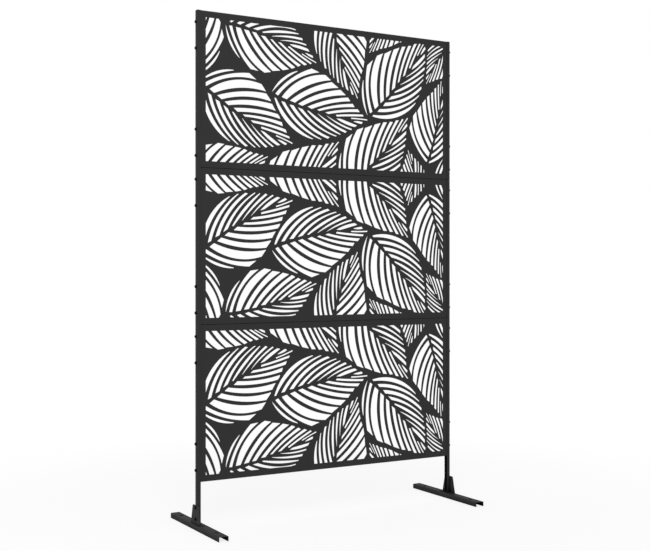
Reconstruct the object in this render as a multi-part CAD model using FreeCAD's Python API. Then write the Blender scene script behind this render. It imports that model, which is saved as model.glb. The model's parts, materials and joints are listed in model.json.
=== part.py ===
import FreeCAD, Part
import math
import os
from collections import namedtuple
from FreeCAD import Vector

# Free-standing metal privacy screen: three leaf-cut panels between two posts on channel feet.
# Millimetres. The origin is on the floor, midway between the posts and at their mid-depth.
# X runs along the screen to the right, Y from front to back, Z up.

# Overall layout
SCREEN_WIDTH = 1220.0        # over the outer faces of the posts
GROUND_CLEARANCE = 184.0     # floor to the lower edge of the bottom panel
PANEL_HEIGHT = 614.8
PANEL_GAP = 0.6              # dark line between two panels
PANEL_NAMES = ("panel_bottom", "panel_middle", "panel_top")
FLIPPED_PANELS = ("panel_top",)

# Panels: sheet trays with their edges folded back
PANEL_SHEET = 1.2
PANEL_DEPTH = 15.5           # front face to the free edge of the folds
PANEL_PLAY = 0.2             # panel face behind the front flange of a post
PANEL_FOLD = 2.2             # outer radius of the folds
LEAST_INNER_FOLD = 0.4       # folds are no tighter than this inside
SIDE_BORDER = 35.0           # uncut sheet at the left and right edges, partly inside the posts
END_BORDER = 25.0            # uncut sheet at the upper and lower edges
BOLT_FROM_END = 46.0         # first bolt from the upper or lower edge
BOLT_PAIR_SPACING = 103.0    # from the first bolt to the second one

# Posts: channels in two lengths, open towards the panels, whose edges they take in
POST_WIDTH = 15.0
POST_DEPTH = 20.0
POST_SHEET = 1.5
POST_FOLD = 1.9              # outer radius of the folds

# Feet: channels lying open side down
FOOT_LENGTH = 470.0
FOOT_WIDTH = 40.0
FOOT_HEIGHT = 20.0
FOOT_SHEET = 2.0
FOOT_FOLD = 3.0              # outer radius of the folds
FOOT_INWARD = 1.5            # foot's centre line inward of the post's
ANCHOR_HOLE = 16.0
ANCHOR_SPACING = 336.0

# Brackets: bent plates, one leg under the post and one on its outer face
BRACKET_SHEET = 3.0
BRACKET_BASE = 90.0
BRACKET_TOP = 55.0
BRACKET_HEIGHT = 73.5
BRACKET_CORNER = 6.0
BRACKET_FOLD = 2.5
WELD_RADIUS = 3.0            # beads along the bracket's base
WELD_INSET = 4.0             # bead short of the bracket's ends
FOOT_BOLT_LOW = 19.5         # lower bracket bolt above the foot
FOOT_BOLT_SPACING = 45.0

# Fasteners
BOLT_DIAMETER = 6.0
BOLT_TIP = 0.7               # chamfer at the end of the thread
BOLT_HOLE_CLEARANCE = 0.6    # hole over bolt, in diameter
THREAD_CLEARANCE = 0.1       # nut bore over bolt, in diameter
HEAD_FLATS = 10.0
HEAD_HEIGHT = 4.0
HEAD_CHAMFER = 0.7
NUT_HEIGHT = 5.0
WASHER_DIAMETER = 12.5
WASHER_THICKNESS = 1.6
BOLT_LENGTHS = (12, 16, 20, 25, 30, 35, 40)    # what such bolts are sold in

# One leaf of the cut pattern, drawn with its base at (0, 0) and its tip near (440, 8).
# Each slot has four corners, root, far root, far end and end, and then the rise of its two
# long sides, the one from root to end first. A side that rises bows away from the midrib.
NARROW_SLOTS = (
    ((5, 8), (15, 8), (213, 135), (205, 138), 34, 22),
    ((38, 15), (56, 15), (250, 127), (246, 131), 24, 18),
    ((77, 20), (98, 19), (288, 111), (278, 120), 20, 17),
    ((116, 22), (142, 25), (320, 98), (315, 103), 17, 14),
    ((162, 27), (170, 24), (338, 87), (334, 91), 10, 3),
    ((211, 27), (215, 26), (365, 69), (358, 78), 7, 4),
    ((256, 26), (259, 25), (388, 53), (385, 60), 7, 4),
    ((303, 27), (325, 23), (412, 33), (400, 43), 5, 0),
    ((386, 21), (388, 20), (437, 13), (431, 23), 1, -3),
)
WIDE_SLOTS = (
    ((-9, -11), (-7, -11), (96, -123), (93, -125), 16, 7),
    ((7, -8), (22, -3), (199, -144), (157, -151), 14, 22),
    ((38, -1), (63, 3), (257, -125), (225, -141), 27, 18),
    ((77, 4), (102, 8), (298, -102), (260, -119), 12, 16),
    ((116, 9), (138, 13), (337, -80), (307, -97), 12, 12),
    ((161, 10), (184, 15), (363, -60), (348, -74), 8, 8),
    ((207, 12), (221, 15), (387, -40), (375, -53), 6, 6),
    ((247, 14), (264, 18), (416, -25), (403, -36), 4, 4),
    ((300, 12), (306, 19), (437, -11), (431, -19), 2, 1),
    ((375, 7), (377, 13), (458, 2), (456, -4), 1, 1),
)
# The leaf's margin as arcs, each with its start and middle: what lies behind a leaf stops there.
LEAF_MARGIN = (
    ((-20, 4), (50, 86)),
    ((215, 148), (350, 92)),
    ((450, 8), (341, -91)),
    ((180, -160), (35, -100)),
)
# The leaves of a panel, front ones first: base to the right of and above the panel's centre,
# turn in degrees from lying to the right, hand (-1 is mirrored), size, and how many slots are
# left out at the base of the wide side.
Leaf = namedtuple("Leaf", "x z turn hand size left_out")
LEAVES = (
    Leaf(191, 52, -50.5, 1, 0.99, 0),
    Leaf(-275, 0, 9, 1, 1.0, 0),
    Leaf(-592, -19, 27.5, 1, 1.0, 0),
    Leaf(-477, -270, 16.5, -1, 0.92, 0),
    Leaf(68, 371, -45.5, 1, 0.99, 0),
    Leaf(-21, -411, 69.5, 1, 0.92, 0),
    Leaf(489, 243, -78.5, 1, 0.83, 1),
    Leaf(-656, 381, -20, 1, 0.83, 0),
    Leaf(-300, 484, -43, 1, 1.0, 0),
    Leaf(-611, -65, -95.5, -1, 0.86, 0),
    Leaf(381, -471, 127.5, 1, 0.70, 0),
    Leaf(672, -362, 127, 1, 0.69, 0),
    Leaf(448, 534, -100, 1, 0.77, 0),
    Leaf(534, 342, -20, 1, 0.83, 0),
)
SLOT_INSET = 0.6             # slots are cut this far inside their drawn outlines
LEAST_SLOT_AREA = 35.0       # smaller scraps at the border and behind leaves stay uncut
LEAST_SLOT_WIDTH = 2.4       # and so do narrower ones

# Places worked out from the sizes above
PANEL_WIDTH = SCREEN_WIDTH - 2 * POST_SHEET
PANEL_PITCH = PANEL_HEIGHT + PANEL_GAP
SCREEN_HEIGHT = GROUND_CLEARANCE + len(PANEL_NAMES) * PANEL_PITCH - PANEL_GAP
PANEL_CENTRES = [GROUND_CLEARANCE + PANEL_HEIGHT / 2 + i * PANEL_PITCH for i in range(len(PANEL_NAMES))]
PANEL_FRONT = POST_SHEET + PANEL_PLAY - POST_DEPTH / 2
PANEL_INNER_FOLD = max(PANEL_FOLD - PANEL_SHEET, LEAST_INNER_FOLD)
POST_OUTER = SCREEN_WIDTH / 2
POST_INNER = POST_OUTER - POST_WIDTH
POST_CENTRE = POST_OUTER - POST_WIDTH / 2
POST_WEB = POST_OUTER - POST_SHEET          # inner face of the post's outer wall
POST_INNER_FOLD = max(POST_FOLD - POST_SHEET, LEAST_INNER_FOLD)
POST_BASE = FOOT_HEIGHT + BRACKET_SHEET
POST_JOINT = PANEL_CENTRES[1]
FOOT_CENTRE = POST_CENTRE - FOOT_INWARD
FOOT_INNER_FOLD = max(FOOT_FOLD - FOOT_SHEET, LEAST_INNER_FOLD)
BRACKET_FACE = POST_OUTER + BRACKET_SHEET
BOLT_HOLE = BOLT_DIAMETER + BOLT_HOLE_CLEARANCE
HEAD_CORNER = HEAD_FLATS / math.sqrt(3)     # from the axis of a hexagon to its corners
PANEL_BOLT_GRIP = WASHER_THICKNESS + POST_SHEET + PANEL_SHEET + NUT_HEIGHT
FOOT_BOLT_GRIP = WASHER_THICKNESS + BRACKET_SHEET + POST_SHEET + NUT_HEIGHT
OUTER_BOLT = PANEL_HEIGHT / 2 - BOLT_FROM_END      # from the panel's mid-height
INNER_BOLT = OUTER_BOLT - BOLT_PAIR_SPACING
BOLT_OFFSETS = (-OUTER_BOLT, -INNER_BOLT, INNER_BOLT, OUTER_BOLT)
PANEL_BOLT_HEIGHTS = [centre + offset for centre in PANEL_CENTRES for offset in BOLT_OFFSETS]
FOOT_BOLT_HEIGHTS = [FOOT_HEIGHT + FOOT_BOLT_LOW, FOOT_HEIGHT + FOOT_BOLT_LOW + FOOT_BOLT_SPACING]
ORIGIN = Vector(0, 0, 0)
X_AXIS = Vector(1, 0, 0)
Y_AXIS = Vector(0, 1, 0)
Z_AXIS = Vector(0, 0, 1)


def block(x0, x1, y0, y1, z0, z1):
    return Part.makeBox(x1 - x0, y1 - y0, z1 - z0, Vector(x0, y0, z0))


def rounded(shape, radius, direction, *sides):
    """The shape with its edges along a direction rounded, where they lie towards all given sides."""
    middle = shape.BoundBox.Center
    edges = []
    for edge in shape.Edges:
        along = abs(edge.tangentAt(edge.FirstParameter).dot(direction)) > 1 - 1e-6
        if along and all((edge.CenterOfMass - middle).dot(side) > 0 for side in sides):
            edges.append(edge)
    return shape.makeFillet(radius, edges)


def rod_along_x(diameter, x0, x1, height):
    return Part.makeCylinder(diameter / 2, x1 - x0, Vector(x0, 0, height), X_AXIS)


def bolt_holes(x0, x1, heights):
    return Part.makeCompound([rod_along_x(BOLT_HOLE, x0, x1, height) for height in heights])


# Leaf pattern, drawn in the plane y = 0 about a panel's centre

def rectangle(half_width, half_height):
    signs = ((-1, -1), (1, -1), (1, 1), (-1, 1), (-1, -1))
    return Part.makePolygon([Vector(x * half_width, 0, z * half_height) for x, z in signs])


def on_panel(leaf, point):
    """A point of the leaf drawing where the leaf lies on the panel."""
    along = leaf.size * point[0]
    across = leaf.size * leaf.hand * point[1]
    cosine = math.cos(math.radians(leaf.turn))
    sine = math.sin(math.radians(leaf.turn))
    return Vector(leaf.x + along * cosine - across * sine, 0, leaf.z + along * sine + across * cosine)


def bowed_side(leaf, start, end, rise, outward):
    """A long side of a slot: an arc that rises from its chord, or a line."""
    if rise == 0:
        return Part.LineSegment(on_panel(leaf, start), on_panel(leaf, end)).toShape()
    run = (end[0] - start[0], end[1] - start[1])
    lift = rise * outward / math.hypot(*run)
    middle = ((start[0] + end[0]) / 2 - run[1] * lift, (start[1] + end[1]) / 2 + run[0] * lift)
    return Part.Arc(*[on_panel(leaf, point) for point in (start, middle, end)]).toShape()


def slot_face(leaf, slot, outward):
    root, far_root, far_end, end, rise, far_rise = slot
    sides = [
        bowed_side(leaf, root, end, rise, outward),
        Part.LineSegment(on_panel(leaf, end), on_panel(leaf, far_end)).toShape(),
        bowed_side(leaf, far_root, far_end, far_rise, outward),
        Part.LineSegment(on_panel(leaf, far_root), on_panel(leaf, root)).toShape(),
    ]
    return Part.Face(Part.Wire(Part.__sortEdges__(sides)))


def leaf_face(leaf):
    """The whole leaf up to its margin."""
    arcs = []
    for i, (start, middle) in enumerate(LEAF_MARGIN):
        end = LEAF_MARGIN[(i + 1) % len(LEAF_MARGIN)][0]
        arcs.append(Part.Arc(*[on_panel(leaf, point) for point in (start, middle, end)]).toShape())
    return Part.Face(Part.Wire(arcs))


def worth_cutting(face):
    """Whether a slot, or what is left of one, is large and wide enough on average."""
    return face.Area > LEAST_SLOT_AREA and 2 * face.Area / face.Length > LEAST_SLOT_WIDTH


def pattern_wires():
    """The outlines of all slots of a panel, kept inside its border and off the leaves in front."""
    window = Part.Face(rectangle(PANEL_WIDTH / 2 - SIDE_BORDER, PANEL_HEIGHT / 2 - END_BORDER))
    wires = []
    leaves_in_front = []
    for leaf in LEAVES:
        for slots, outward in ((NARROW_SLOTS, 1), (WIDE_SLOTS[leaf.left_out:], -1)):
            for slot in slots:
                opening = slot_face(leaf, slot, outward).common(window)
                for leaf_in_front in leaves_in_front:
                    if opening.Faces and opening.BoundBox.intersect(leaf_in_front.BoundBox):
                        opening = opening.cut(leaf_in_front)
                insets = [face.makeOffset2D(-SLOT_INSET) for face in opening.Faces if worth_cutting(face)]
                wires += [face.OuterWire for inset in insets for face in inset.Faces]
        leaves_in_front.append(leaf_face(leaf))
    return wires


# Panels

def cut_sheet():
    """The flat front of a panel between its folds, with the slots."""
    outline = rectangle(PANEL_WIDTH / 2 - PANEL_FOLD, PANEL_HEIGHT / 2 - PANEL_FOLD)
    face = Part.makeFace([outline] + pattern_wires(), "Part::FaceMakerBullseye")
    sheet = face.extrude(Vector(0, PANEL_SHEET, 0))
    sheet.translate(Vector(0, PANEL_FRONT, 0))
    return sheet


def rounded_tray(inset, radius):
    """A block the size of the panel less an inset, with rounded front edges."""
    half_width = PANEL_WIDTH / 2 - inset
    half_height = PANEL_HEIGHT / 2 - inset
    front = PANEL_FRONT + inset
    tray = block(-half_width, half_width, front, PANEL_FRONT + PANEL_DEPTH, -half_height, half_height)
    front_edges = [edge for edge in tray.Edges if edge.BoundBox.YMax < front + PANEL_SHEET]
    return tray.makeFillet(radius, front_edges)


def folded_edges():
    """The four folds of a panel, without its flat front."""
    ring = rounded_tray(0, PANEL_FOLD).cut(rounded_tray(PANEL_SHEET, PANEL_INNER_FOLD))
    half_width = PANEL_WIDTH / 2 - PANEL_FOLD
    half_height = PANEL_HEIGHT / 2 - PANEL_FOLD
    front = block(-half_width, half_width, PANEL_FRONT, PANEL_FRONT + PANEL_SHEET, -half_height, half_height)
    return ring.cut(front).cut(bolt_holes(-SCREEN_WIDTH / 2, SCREEN_WIDTH / 2, BOLT_OFFSETS))


def panels():
    tray = folded_edges().fuse(cut_sheet())
    made = {}
    for name, centre in zip(PANEL_NAMES, PANEL_CENTRES):
        panel = tray.mirror(ORIGIN, Z_AXIS) if name in FLIPPED_PANELS else tray.copy()
        panel.translate(Vector(0, 0, centre))
        made[name] = panel
    return made


# Right-hand post, foot and bracket

def post_channel(low, high):
    """One length of the post, open towards the panels."""
    half = POST_DEPTH / 2
    outside = block(POST_INNER, POST_OUTER, -half, half, low, high)
    half -= POST_SHEET
    inside = block(POST_INNER, POST_WEB, -half, half, low, high)
    post = rounded(outside, POST_FOLD, Z_AXIS, X_AXIS).cut(rounded(inside, POST_INNER_FOLD, Z_AXIS, X_AXIS))
    heights = [height for height in PANEL_BOLT_HEIGHTS + FOOT_BOLT_HEIGHTS if low < height < high]
    return post.cut(bolt_holes(POST_WEB, POST_OUTER, heights))


def foot_channel():
    half = FOOT_WIDTH / 2
    length = FOOT_LENGTH / 2
    outside = block(FOOT_CENTRE - half, FOOT_CENTRE + half, -length, length, 0, FOOT_HEIGHT)
    half -= FOOT_SHEET
    inside = block(FOOT_CENTRE - half, FOOT_CENTRE + half, -length, length, 0, FOOT_HEIGHT - FOOT_SHEET)
    foot = rounded(outside, FOOT_FOLD, Y_AXIS, Z_AXIS).cut(rounded(inside, FOOT_INNER_FOLD, Y_AXIS, Z_AXIS))
    holes = [Part.makeCylinder(ANCHOR_HOLE / 2, FOOT_HEIGHT, Vector(FOOT_CENTRE, y, 0))
             for y in (-ANCHOR_SPACING / 2, ANCHOR_SPACING / 2)]
    return foot.cut(Part.makeCompound(holes))


def foot_bracket():
    base = FOOT_HEIGHT
    top = FOOT_HEIGHT + BRACKET_HEIGHT
    half = BRACKET_BASE / 2
    bent = block(POST_INNER, BRACKET_FACE, -half, half, base, top)
    bent = rounded(bent, BRACKET_FOLD, Y_AXIS, X_AXIS, -Z_AXIS)
    bent = bent.cut(block(POST_INNER, POST_OUTER, -half, half, base + BRACKET_SHEET, top))
    corners = [(-half, base), (half, base), (BRACKET_TOP / 2, top), (-BRACKET_TOP / 2, top)]
    outline = Part.makePolygon([Vector(POST_INNER, y, z) for y, z in corners + corners[:1]])
    tapered = Part.Face(outline).extrude(Vector(BRACKET_FACE - POST_INNER, 0, 0))
    bracket = bent.common(rounded(tapered, BRACKET_CORNER, X_AXIS, Z_AXIS))
    return bracket.cut(bolt_holes(POST_OUTER, BRACKET_FACE, FOOT_BOLT_HEIGHTS))


def bracket_weld(bracket):
    """Beads on top of the foot, along the bracket's inner edge and its outer fold."""
    half = BRACKET_BASE / 2 - WELD_INSET
    beads = []
    for x in (POST_INNER, BRACKET_FACE):
        rod = Part.makeCylinder(WELD_RADIUS, 2 * half, Vector(x, -half, FOOT_HEIGHT), Y_AXIS)
        above = block(x - WELD_RADIUS, x + WELD_RADIUS, -half, half, FOOT_HEIGHT, FOOT_HEIGHT + WELD_RADIUS)
        beads.append(rod.common(above).cut(bracket))
    return Part.makeCompound(beads)


# Fasteners of the right-hand side, heads outward

def hexagon(x0, x1):
    """A hexagonal prism along X, with a corner up."""
    angles = [math.radians(60 * i) for i in range(7)]
    corners = [Vector(x0, HEAD_CORNER * math.sin(angle), HEAD_CORNER * math.cos(angle)) for angle in angles]
    return Part.Face(Part.makePolygon(corners)).extrude(Vector(x1 - x0, 0, 0))


def chamfered_hexagon(x0, x1, both_ends):
    """A hexagonal prism along X with its corners turned off at the outer end, or at both."""
    turned = Part.makeCylinder(HEAD_CORNER, x1 - x0, Vector(x0, 0, 0), X_AXIS)
    rims = [edge for edge in turned.Edges if edge.BoundBox.XLength < HEAD_CHAMFER]
    if not both_ends:
        rims = [edge for edge in rims if edge.BoundBox.XMin > (x0 + x1) / 2]
    return hexagon(x0, x1).common(turned.makeChamfer(HEAD_CHAMFER, rims))


def bolt(seat, grip, height):
    """A hexagon bolt whose head seats at x = seat, long enough for what it grips."""
    length = next(length for length in BOLT_LENGTHS if length >= grip)
    shank = rod_along_x(BOLT_DIAMETER, -length, 0, 0)
    end_rim = [edge for edge in shank.Edges if edge.BoundBox.XMax < -length / 2]
    shank = shank.makeChamfer(BOLT_TIP, end_rim)
    made = chamfered_hexagon(0, HEAD_HEIGHT, False).fuse(shank)
    made.translate(Vector(seat, 0, height))
    return made


def washer(seat, height):
    disc = rod_along_x(WASHER_DIAMETER, seat, seat + WASHER_THICKNESS, height)
    return disc.cut(rod_along_x(BOLT_HOLE, seat, seat + WASHER_THICKNESS, height))


def hexagon_nut(seat, height):
    """A nut drawn outward against x = seat."""
    bore = rod_along_x(BOLT_DIAMETER + THREAD_CLEARANCE, -NUT_HEIGHT, 0, 0)
    nut = chamfered_hexagon(-NUT_HEIGHT, 0, True).cut(bore)
    nut.translate(Vector(seat, 0, height))
    return nut


def right_side():
    """Every piece of the right-hand side by its name without the side."""
    bracket = foot_bracket()
    pieces = {
        "post_lower": post_channel(POST_BASE, POST_JOINT),
        "post_upper": post_channel(POST_JOINT, SCREEN_HEIGHT),
        "foot_channel": foot_channel(),
        "foot_bracket": bracket,
        "bracket_weld": bracket_weld(bracket),
    }
    groups = {
        "panel_washers": [washer(POST_OUTER, z) for z in PANEL_BOLT_HEIGHTS],
        "panel_bolts": [bolt(POST_OUTER + WASHER_THICKNESS, PANEL_BOLT_GRIP, z) for z in PANEL_BOLT_HEIGHTS],
        "panel_nuts": [hexagon_nut(POST_WEB - PANEL_SHEET, z) for z in PANEL_BOLT_HEIGHTS],
        "foot_washers": [washer(BRACKET_FACE, z) for z in FOOT_BOLT_HEIGHTS],
        "foot_bolts": [bolt(BRACKET_FACE + WASHER_THICKNESS, FOOT_BOLT_GRIP, z) for z in FOOT_BOLT_HEIGHTS],
        "foot_nuts": [hexagon_nut(POST_WEB, z) for z in FOOT_BOLT_HEIGHTS],
    }
    for name, solids in groups.items():
        pieces[name] = Part.makeCompound(solids)
    return pieces


def main():
    nodes = panels()
    for name, piece in right_side().items():
        nodes[name + "_right"] = piece
        nodes[name + "_left"] = piece.mirror(ORIGIN, X_AXIS)
    os.makedirs("parts", exist_ok=True)
    for name, shape in nodes.items():
        shape.exportStep("parts/" + name + ".step")
        print(name, len(shape.Solids), shape.isValid(), round(shape.Volume), len(shape.Faces))


main()
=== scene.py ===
import json
import math

import bpy
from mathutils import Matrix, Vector


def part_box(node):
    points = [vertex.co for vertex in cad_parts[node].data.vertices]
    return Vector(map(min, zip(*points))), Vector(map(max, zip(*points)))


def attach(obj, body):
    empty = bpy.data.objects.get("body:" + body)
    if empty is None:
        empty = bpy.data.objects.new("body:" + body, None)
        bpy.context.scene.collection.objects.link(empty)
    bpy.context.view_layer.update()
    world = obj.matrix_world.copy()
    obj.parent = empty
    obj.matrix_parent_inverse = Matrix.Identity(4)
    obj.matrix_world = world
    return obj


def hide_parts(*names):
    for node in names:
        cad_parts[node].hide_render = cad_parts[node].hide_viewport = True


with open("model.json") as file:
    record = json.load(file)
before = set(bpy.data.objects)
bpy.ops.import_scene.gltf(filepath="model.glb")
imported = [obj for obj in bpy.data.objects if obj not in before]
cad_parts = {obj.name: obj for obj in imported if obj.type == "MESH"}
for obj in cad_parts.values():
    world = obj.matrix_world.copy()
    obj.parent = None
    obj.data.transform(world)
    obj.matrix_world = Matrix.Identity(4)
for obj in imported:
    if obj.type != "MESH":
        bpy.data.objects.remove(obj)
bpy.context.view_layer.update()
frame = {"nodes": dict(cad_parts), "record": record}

# Camera, in metres and degrees, and its picture in pixels
CAMERA_PLACE = Vector((-2.322, -3.9505, 1.0207))
CAMERA_TURN = 30.142          # to the right of looking straight back
FOCAL_PIXELS = 1094.1
IMAGE_WIDTH = 650
HORIZON_RISE = 7.44           # horizon above the middle of the picture
SENSOR_WIDTH = 36.0           # millimetres

# Colours, linear, how much they mirror, and roughness: least, plain and most
COAT_COLOUR = (0.0235, 0.0235, 0.024)
COAT_SPECULAR = 0.12
COAT_ROUGHNESS = (0.64, 0.7, 0.76)
# black: the fasteners' own colour, and painted shade where it covers the weld beads
BLACK_COLOUR = (0.003, 0.003, 0.003)
BLACK_SPECULAR = 0.06
BLACK_ROUGHNESS = (0.36, 0.42, 0.5)
FLOOR_COLOUR = (0.9, 0.9, 0.9)
TONE_SWING = 0.1              # coat's tone up and down, as a share

# Surfaces: noises as cycles per metre and detail, bumps as strength and height in metres
TONE_NOISE = (240.0, 4.0)
SHEEN_NOISE = (9.0, 3.0)
PEEL_NOISE = (160.0, 2.0)
PEEL_BUMP = (0.10, 0.0004)
GRAIN_NOISE = (1100.0, 3.0)
GRAIN_BUMP = (0.25, 0.0002)
STEEL_SHEEN_NOISE = (300.0, 3.0)
STEEL_NOISE = (1500.0, 2.0)
STEEL_BUMP = (0.15, 0.0002)
SPREAD_PART = (0.25, 0.75)    # part of a value from 0 to 1 that is spread over a range

# Painted shade in recesses: the coat's colour and mirroring are darkened in corners and inside the
# channels, where shade falls
PAINTED_SHADE_REACH = 0.04           # how far off a facing wall still counts
PAINTED_SHADE_TONE = 0.03            # share of the open coat's tone that is left
PAINTED_SHADE_SAMPLES = 8

# Weld beads
BEAD_TUCK = 0.0012            # bead's root inside the bracket
BEAD_END = 0.35               # share of the radius at the bead's very ends
BEAD_END_SLOPE = 2.0          # what that share gains within one radius
BEAD_ARC_STEPS = 8
RIPPLE_PITCH = 0.0042
RIPPLE_DEPTH = 0.16           # as a share of the radius
RIPPLE_STEPS = 6              # rings in one ripple

# Stage
FLOOR_HALF = 40.0
SHADOW_INNER = 0.9            # the floor's shadow is full within this distance of the screen's centre
SHADOW_OUTER = 2.4            # and gone beyond this one
SHADOW_SHARE = 0.2            # how much of the floor's shading shows in the picture
SKY_STRENGTH = 0.8
LAMP_PLACE = Vector((-2.5, -4.0, 3.6))
LAMP_AIM = Vector((0.0, 0.0, 1.0))
LAMP_SIZE = 2.5
LAMP_POWER = 110.0            # watts


# Materials

def new_material(name, colour, roughness, specular):
    """A material with its principled shader set up, and its node tree."""
    material = bpy.data.materials.new(name)
    material.use_nodes = True
    tree = material.node_tree
    shader = tree.nodes["Principled BSDF"]
    shader.inputs["Base Color"].default_value = (*colour, 1.0)
    shader.inputs["Roughness"].default_value = roughness
    shader.inputs["Specular IOR Level"].default_value = specular
    return material, tree, shader


def add_noise(tree, scale, detail):
    """Noise over the row frame, scale in cycles per metre."""
    place = tree.nodes.new("ShaderNodeTexCoord")
    noise = tree.nodes.new("ShaderNodeTexNoise")
    noise.inputs["Scale"].default_value = scale
    noise.inputs["Detail"].default_value = detail
    tree.links.new(place.outputs["Object"], noise.inputs["Vector"])
    return noise.outputs["Fac"]


def spread(tree, value, low, high):
    """The middle part of a value from 0 to 1, brought to a range."""
    node = tree.nodes.new("ShaderNodeMapRange")
    node.inputs["From Min"].default_value = SPREAD_PART[0]
    node.inputs["From Max"].default_value = SPREAD_PART[1]
    node.inputs["To Min"].default_value = low
    node.inputs["To Max"].default_value = high
    tree.links.new(value, node.inputs["Value"])
    return node.outputs["Result"]


def add_bump(tree, height, strength, distance, under=None):
    """A bump from a height, on top of another one if given."""
    bump = tree.nodes.new("ShaderNodeBump")
    bump.inputs["Strength"].default_value = strength
    bump.inputs["Distance"].default_value = distance
    tree.links.new(height, bump.inputs["Height"])
    if under:
        tree.links.new(under, bump.inputs["Normal"])
    return bump.outputs["Normal"]


def painted_corner_shade(tree):
    """Painted shade: 1 on open faces, less in corners and inside the channels, from how near facing walls
    are.
    """
    walls = tree.nodes.new("ShaderNodeAmbientOcclusion")
    walls.samples = PAINTED_SHADE_SAMPLES
    walls.inputs["Distance"].default_value = PAINTED_SHADE_REACH
    return spread(tree, walls.outputs["AO"], PAINTED_SHADE_TONE, 1.0)


def powder_coat():
    """Matt charcoal coat: a fine grain over a faint orange peel, a little uneven in tone and sheen, with
    painted shade darkening its colour and mirroring in corners and inside the channels.
    """
    least, plain, most = COAT_ROUGHNESS
    material, tree, shader = new_material("powder_coat", COAT_COLOUR, plain, COAT_SPECULAR)
    tone = tree.nodes.new("ShaderNodeMix")
    tone.data_type = "RGBA"
    tone.inputs["A"].default_value = (*[(1.0 - TONE_SWING) * c for c in COAT_COLOUR], 1.0)
    tone.inputs["B"].default_value = (*[(1.0 + TONE_SWING) * c for c in COAT_COLOUR], 1.0)
    tree.links.new(spread(tree, add_noise(tree, *TONE_NOISE), 0.0, 1.0), tone.inputs["Factor"])
    # painted shade: the coat's colour is scaled down in corners and inside the channels
    painted_shade = painted_corner_shade(tree)
    shaded = tree.nodes.new("ShaderNodeVectorMath")
    shaded.operation = "SCALE"
    tree.links.new(tone.outputs["Result"], shaded.inputs[0])
    tree.links.new(painted_shade, shaded.inputs["Scale"])
    tree.links.new(shaded.outputs["Vector"], shader.inputs["Base Color"])
    # painted shade on the mirroring too: the specular level is scaled down in the same corners
    sheen = tree.nodes.new("ShaderNodeMath")
    sheen.operation = "MULTIPLY"
    sheen.inputs[1].default_value = COAT_SPECULAR
    tree.links.new(painted_shade, sheen.inputs[0])
    tree.links.new(sheen.outputs["Value"], shader.inputs["Specular IOR Level"])
    roughness = spread(tree, add_noise(tree, *SHEEN_NOISE), least, most)
    tree.links.new(roughness, shader.inputs["Roughness"])
    peel = add_bump(tree, add_noise(tree, *PEEL_NOISE), *PEEL_BUMP)
    grain = add_bump(tree, add_noise(tree, *GRAIN_NOISE), *GRAIN_BUMP, peel)
    tree.links.new(grain, shader.inputs["Normal"])
    return material


# also used on the weld beads, where its near-black is painted shade at each bracket's base
def black_steel():
    """Blackened steel with a slight sheen."""
    least, plain, most = BLACK_ROUGHNESS
    material, tree, shader = new_material("black_steel", BLACK_COLOUR, plain, BLACK_SPECULAR)
    roughness = spread(tree, add_noise(tree, *STEEL_SHEEN_NOISE), least, most)
    tree.links.new(roughness, shader.inputs["Roughness"])
    grain = add_bump(tree, add_noise(tree, *STEEL_NOISE), *STEEL_BUMP)
    tree.links.new(grain, shader.inputs["Normal"])
    return material


def dress_nodes(materials):
    """Each CAD node in the material of its slot."""
    for part in frame["record"]["subparts"]:
        node = frame["nodes"][part["node"]]
        node.data.materials.clear()
        node.data.materials.append(materials[part["material_slot"]])


# Weld beads, in place of the plain rods

def bead_rings(corner_x, outward, base, length, full_radius):
    """Rings of a rippled quarter-round bead that runs along Y in the corner at corner_x."""
    steps = round(length / RIPPLE_PITCH) * RIPPLE_STEPS
    root = corner_x - outward * BEAD_TUCK
    rings = []
    for i in range(steps + 1):
        along = length * (i / steps - 0.5)
        ripple = abs(math.sin(math.pi * i / RIPPLE_STEPS))
        taper = min(1.0, BEAD_END + BEAD_END_SLOPE * (length / 2 - abs(along)) / full_radius)
        radius = full_radius * taper * (1.0 - RIPPLE_DEPTH * (1.0 - ripple))
        ring = [(root, along, base)]
        for k in range(BEAD_ARC_STEPS + 1):
            angle = math.radians(90.0 * k / BEAD_ARC_STEPS)
            reach = outward * radius * math.cos(angle)
            ring.append((corner_x + reach, along, base + radius * math.sin(angle)))
        ring.append((root, along, base + radius))
        rings.append(ring)
    return rings


def closed_tube(rings, first):
    """Vertices and faces of a tube through the rings, closed at both ends, vertices counted from first."""
    size = len(rings[0])
    vertices = [point for ring in rings for point in ring]
    faces = []
    for i in range(len(rings) - 1):
        near = first + i * size
        for k in range(size):
            after = (k + 1) % size
            faces.append((near + k, near + after, near + size + after, near + size + k))
    last = first + (len(rings) - 1) * size
    faces.append(tuple(range(first + size - 1, first - 1, -1)))
    faces.append(tuple(range(last, last + size)))
    return vertices, faces


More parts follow.
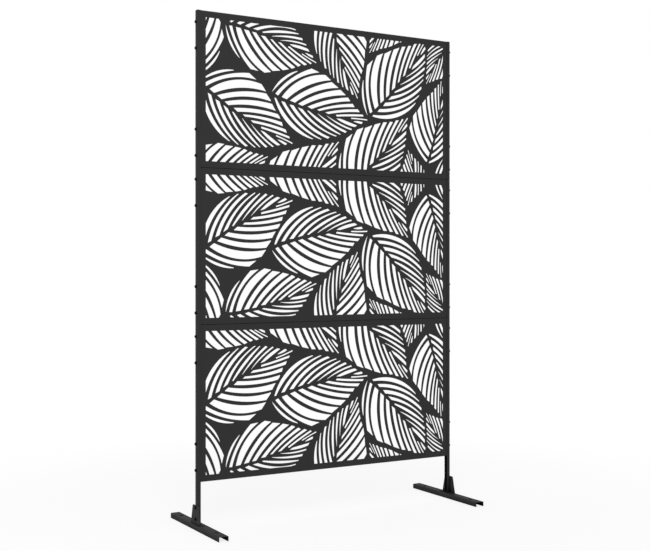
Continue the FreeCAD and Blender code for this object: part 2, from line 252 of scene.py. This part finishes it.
def weld_beads(side, outward, weld_and_shade_black):
    """Both beads of one bracket: at its outer fold and at its inner edge. They are real welds, but their
    near-black colour is painted shade along the bracket's base.
    """
    low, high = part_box("foot_bracket_" + side)
    weld_low, weld_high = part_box("bracket_weld_" + side)
    outer, inner = (high.x, low.x) if outward > 0 else (low.x, high.x)
    length = weld_high.y - weld_low.y
    radius = weld_high.z - weld_low.z
    vertices = []
    faces = []
    for corner_x, facing in ((outer, outward), (inner, -outward)):
        rings = bead_rings(corner_x, facing, low.z, length, radius)
        more_vertices, more_faces = closed_tube(rings, len(vertices))
        vertices += more_vertices
        faces += more_faces
    mesh = bpy.data.meshes.new("weld_beads_" + side)
    mesh.from_pydata(vertices, [], faces)
    mesh.validate()
    beads = bpy.data.objects.new("weld_beads_" + side, mesh)
    bpy.context.scene.collection.objects.link(beads)
    beads.data.materials.append(weld_and_shade_black)
    bpy.context.view_layer.objects.active = beads
    bpy.ops.object.mode_set(mode="EDIT")
    bpy.ops.mesh.select_all(action="SELECT")
    bpy.ops.mesh.normals_make_consistent(inside=False)
    bpy.ops.object.mode_set(mode="OBJECT")
    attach(beads, "root")
    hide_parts("bracket_weld_" + side)


# Stage: floor, light and camera

def plain_sight(tree):
    """1 for rays that show a picture: from the camera, or mirrored or passed on to it."""
    path = tree.nodes.new("ShaderNodeLightPath")
    first = tree.nodes.new("ShaderNodeMath")
    first.operation = "MAXIMUM"
    tree.links.new(path.outputs["Is Camera Ray"], first.inputs[0])
    tree.links.new(path.outputs["Is Glossy Ray"], first.inputs[1])
    both = tree.nodes.new("ShaderNodeMath")
    both.operation = "MAXIMUM"
    tree.links.new(first.outputs["Value"], both.inputs[0])
    tree.links.new(path.outputs["Is Transmission Ray"], both.inputs[1])
    return both.outputs["Value"]


def floor_material():
    """White floor that shows the screen's shadow near it and pure white farther off."""
    material = bpy.data.materials.new("floor")
    material.use_nodes = True
    tree = material.node_tree
    tree.nodes.clear()
    matt = tree.nodes.new("ShaderNodeBsdfDiffuse")
    matt.inputs["Color"].default_value = (*FLOOR_COLOUR, 1.0)
    white = tree.nodes.new("ShaderNodeEmission")
    place = tree.nodes.new("ShaderNodeTexCoord")
    distance = tree.nodes.new("ShaderNodeVectorMath")
    distance.operation = "LENGTH"
    tree.links.new(place.outputs["Object"], distance.inputs[0])
    fade = tree.nodes.new("ShaderNodeMapRange")
    fade.interpolation_type = "SMOOTHSTEP"
    fade.inputs["From Min"].default_value = SHADOW_INNER
    fade.inputs["From Max"].default_value = SHADOW_OUTER
    fade.inputs["To Min"].default_value = 1.0 - SHADOW_SHARE
    fade.inputs["To Max"].default_value = 1.0
    tree.links.new(distance.outputs["Value"], fade.inputs["Value"])
    seen = tree.nodes.new("ShaderNodeMath")
    seen.operation = "MULTIPLY"
    tree.links.new(fade.outputs["Result"], seen.inputs[0])
    tree.links.new(plain_sight(tree), seen.inputs[1])
    mix = tree.nodes.new("ShaderNodeMixShader")
    tree.links.new(seen.outputs["Value"], mix.inputs["Fac"])
    tree.links.new(matt.outputs["BSDF"], mix.inputs[1])
    tree.links.new(white.outputs["Emission"], mix.inputs[2])
    output = tree.nodes.new("ShaderNodeOutputMaterial")
    tree.links.new(mix.outputs["Shader"], output.inputs["Surface"])
    return material


def add_floor():
    mesh = bpy.data.meshes.new("floor")
    corners = [(FLOOR_HALF * x, FLOOR_HALF * y, 0.0) for x, y in ((-1, -1), (1, -1), (1, 1), (-1, 1))]
    mesh.from_pydata(corners, [], [(0, 1, 2, 3)])
    floor = bpy.data.objects.new("floor", mesh)
    floor.data.materials.append(floor_material())
    bpy.context.scene.collection.objects.link(floor)


def set_sky():
    """Even white studio surround: plain light on the screen, pure white behind it."""
    world = bpy.data.worlds.new("studio")
    world.use_nodes = True
    tree = world.node_tree
    background = tree.nodes["Background"]
    strength = tree.nodes.new("ShaderNodeMapRange")
    strength.inputs["To Min"].default_value = SKY_STRENGTH
    strength.inputs["To Max"].default_value = 1.0
    tree.links.new(plain_sight(tree), strength.inputs["Value"])
    background.inputs["Color"].default_value = (1.0, 1.0, 1.0, 1.0)
    tree.links.new(strength.outputs["Result"], background.inputs["Strength"])
    bpy.context.scene.world = world


def add_key_lamp():
    """A square soft lamp in front of the screen, up and to the left."""
    light = bpy.data.lights.new("key_lamp", "AREA")
    light.size = LAMP_SIZE
    light.energy = LAMP_POWER
    lamp = bpy.data.objects.new("key_lamp", light)
    lamp.location = LAMP_PLACE
    lamp.rotation_euler = (LAMP_AIM - LAMP_PLACE).to_track_quat("-Z", "Y").to_euler()
    bpy.context.scene.collection.objects.link(lamp)


def add_camera():
    """A level camera whose picture is shifted so that the screen's uprights stay upright."""
    lens = bpy.data.cameras.new("camera")
    lens.sensor_width = SENSOR_WIDTH
    lens.lens = SENSOR_WIDTH * FOCAL_PIXELS / IMAGE_WIDTH
    lens.shift_y = -HORIZON_RISE / IMAGE_WIDTH
    camera = bpy.data.objects.new("camera", lens)
    camera.location = CAMERA_PLACE
    camera.rotation_euler = (math.radians(90.0), 0.0, -math.radians(CAMERA_TURN))
    bpy.context.scene.collection.objects.link(camera)
    bpy.context.scene.camera = camera


finishes = {"powder_coat": powder_coat(), "black_steel": black_steel()}
dress_nodes(finishes)
for side, outward in (("left", -1), ("right", 1)):
    # the beads' near-black is painted shade: it stands in for the dark contact line at each bracket's base
    weld_beads(side, outward, finishes["black_steel"])
add_floor()
set_sky()
add_key_lamp()
add_camera()
bpy.context.scene.view_settings.view_transform = "Standard"
